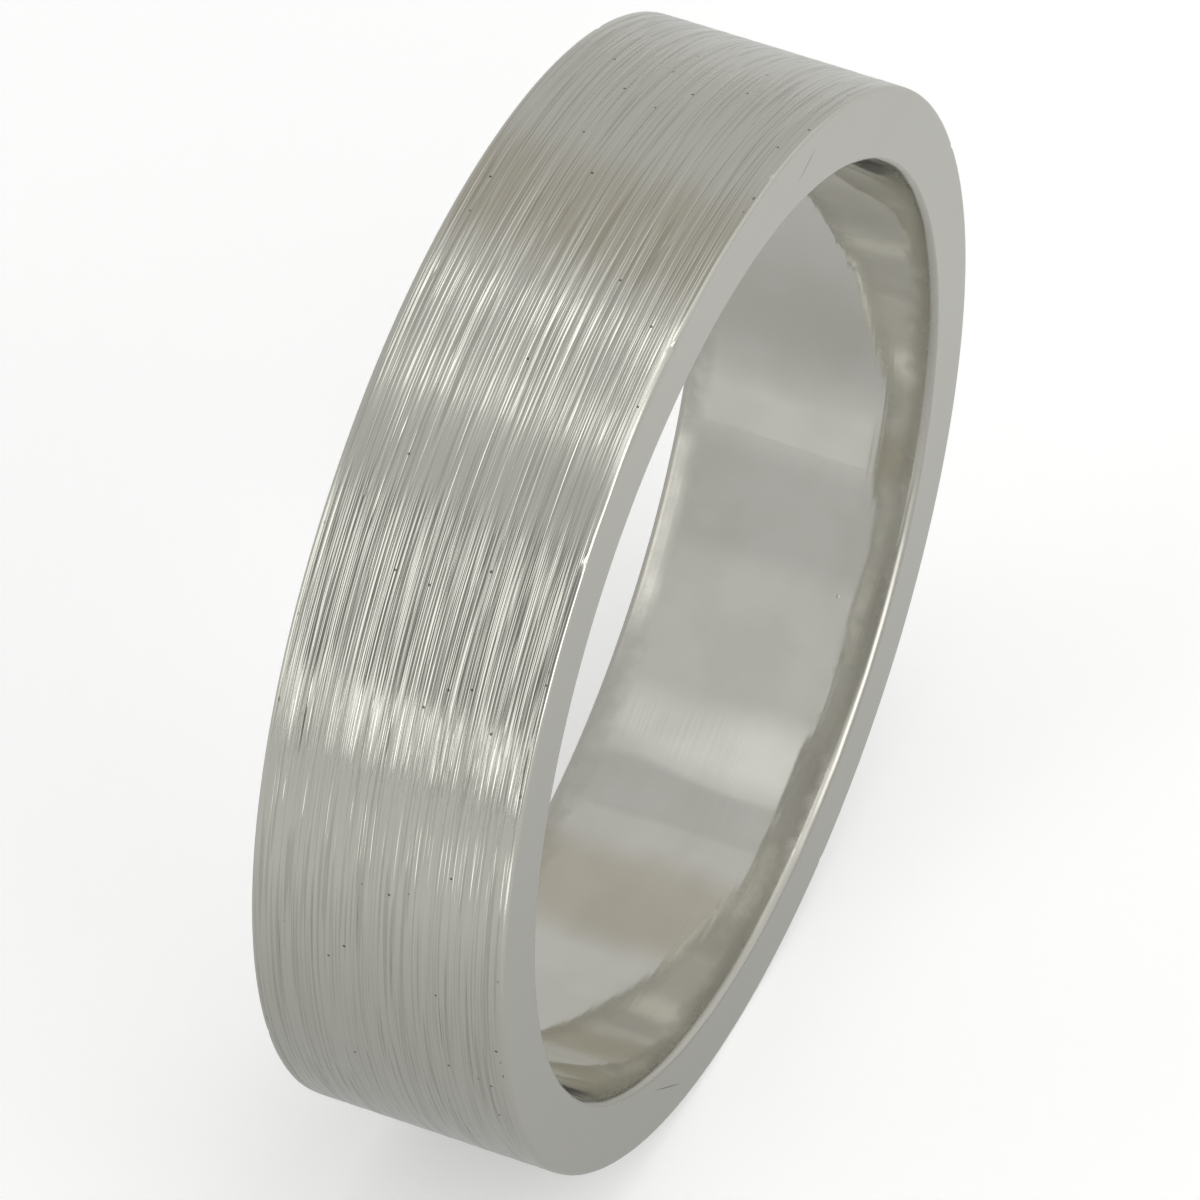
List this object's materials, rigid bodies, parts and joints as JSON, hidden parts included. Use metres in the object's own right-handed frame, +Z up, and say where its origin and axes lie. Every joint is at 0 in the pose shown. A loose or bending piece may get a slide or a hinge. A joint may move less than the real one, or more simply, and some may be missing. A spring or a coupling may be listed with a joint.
{
  "type": "wedding band",
  "caption": "Plain flat-faced finger ring with a finely brushed outer face, flat polished sides and a smooth bore with softly rounded mouths.",
  "frame": {"origin": "centre of the finger bore, halfway across the band's width", "axes": "+Y along the finger, +Z up with the band standing on its edge, X across the finger"},
  "size_m": [0.021, 0.005, 0.021],
  "materials": {
    "white_metal": "white precious metal, finely brushed round the outer face and polished on the sides and in the bore"
  },
  "bodies": {
    "root": {"band": "white_metal"}
  },
  "joints": []
}
